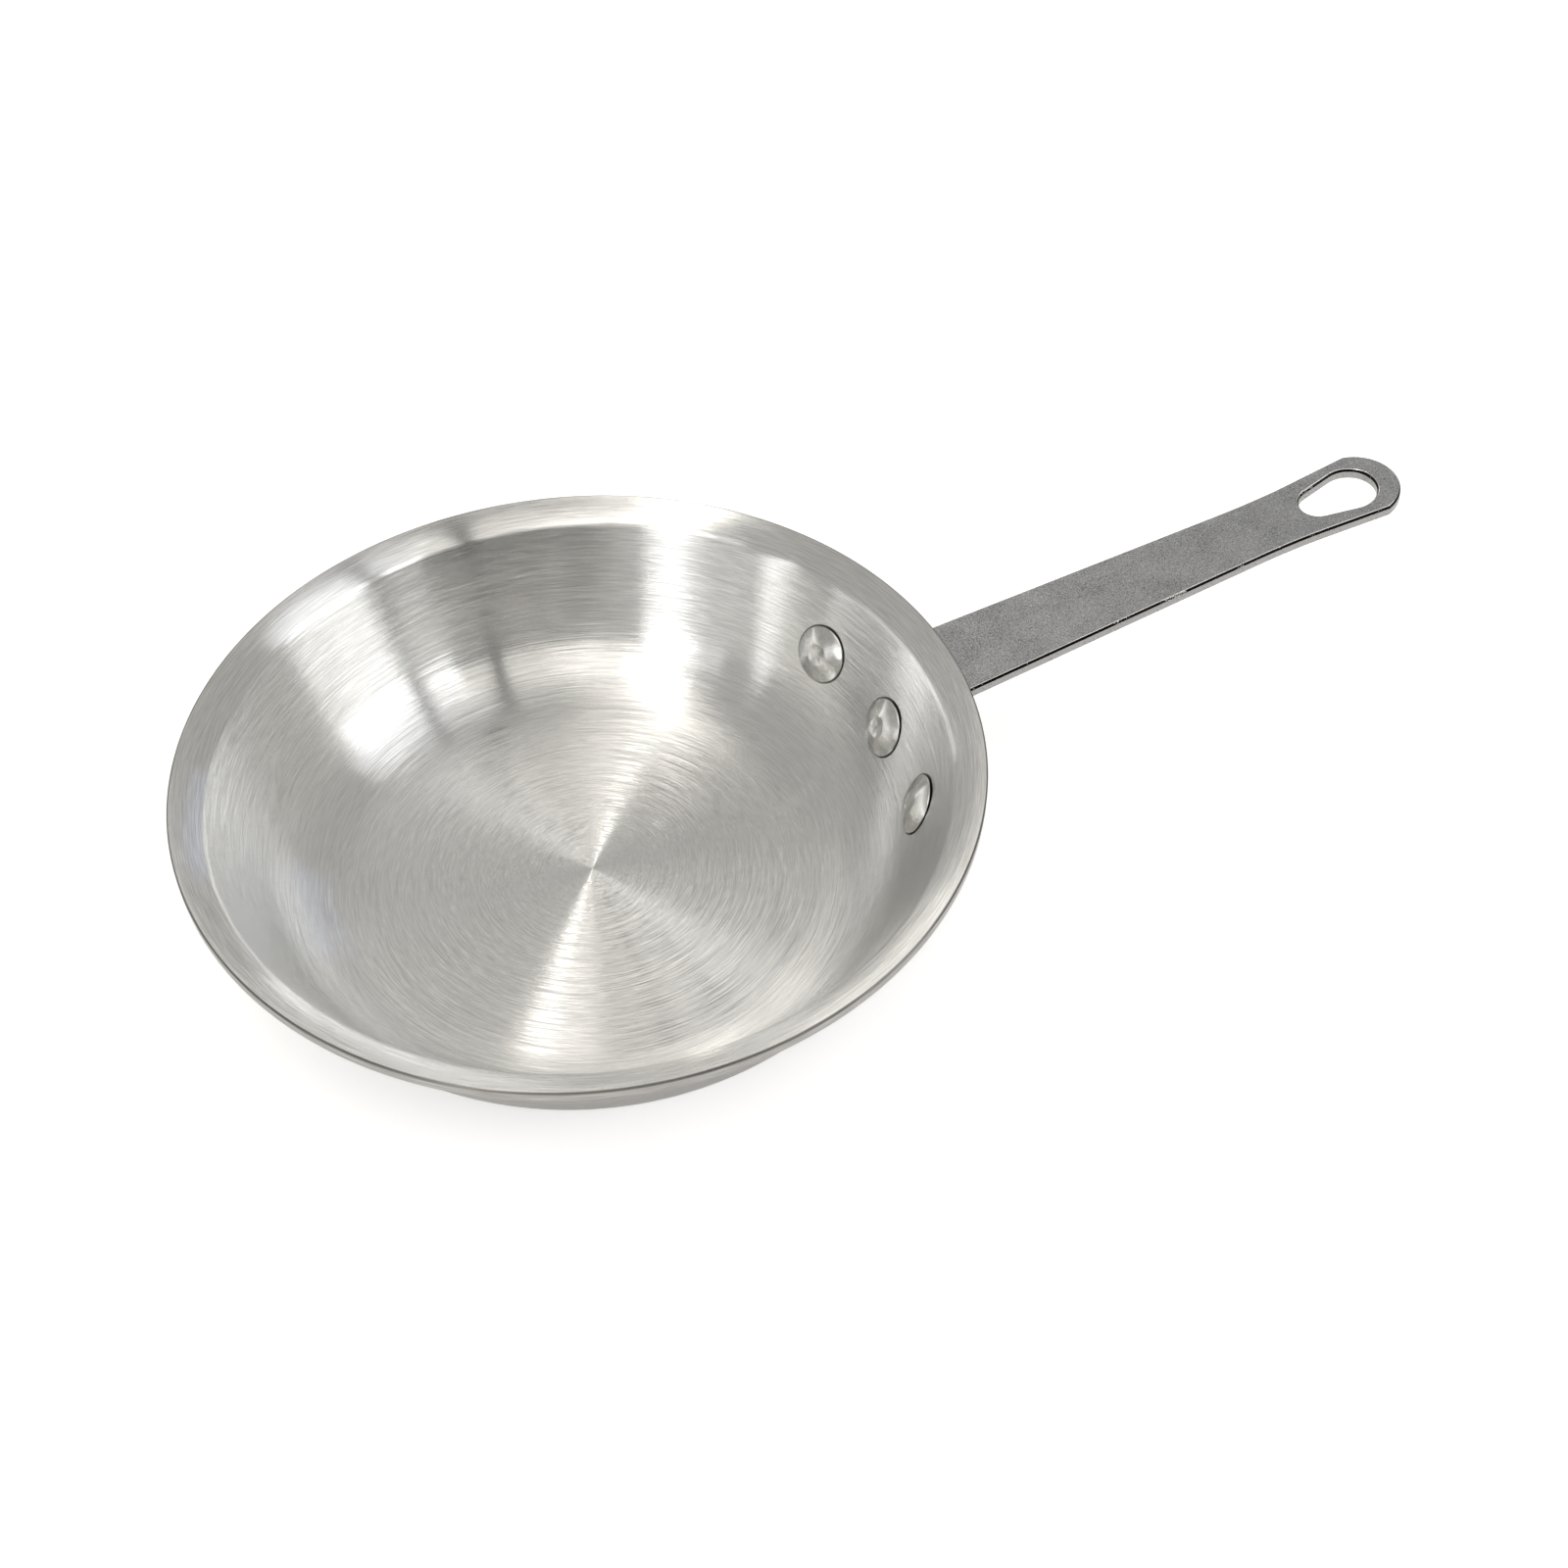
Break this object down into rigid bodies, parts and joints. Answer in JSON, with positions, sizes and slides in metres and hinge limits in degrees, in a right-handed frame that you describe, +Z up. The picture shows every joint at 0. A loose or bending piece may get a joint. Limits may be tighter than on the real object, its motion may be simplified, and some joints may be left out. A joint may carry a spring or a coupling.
{
  "type": "omelette pan",
  "caption": "Shallow round aluminium frying pan with leaning wall and flared lip, and a flat steel handle riveted below the rim with an eye to hang it by.",
  "frame": {"origin": "centre of the flat underside, on the surface that the pan stands on", "axes": "+X along the handle and away from the bowl, +Z up through the open mouth, +Y to the right of someone who holds the handle and looks at the bowl"},
  "size_m": [0.3388, 0.203, 0.0625],
  "materials": {
    "spun_aluminium": "satin, fine circular spinning marks",
    "plated_steel": "dull plating with a fine even grain, brighter rolled edges",
    "rivet_aluminium": "softly polished by the rivet set"
  },
  "bodies": {
    "root": {"pan_body": "spun_aluminium", "handle": "plated_steel", "rivet_left": "rivet_aluminium", "rivet_middle": "rivet_aluminium", "rivet_right": "rivet_aluminium"}
  },
  "joints": []
}
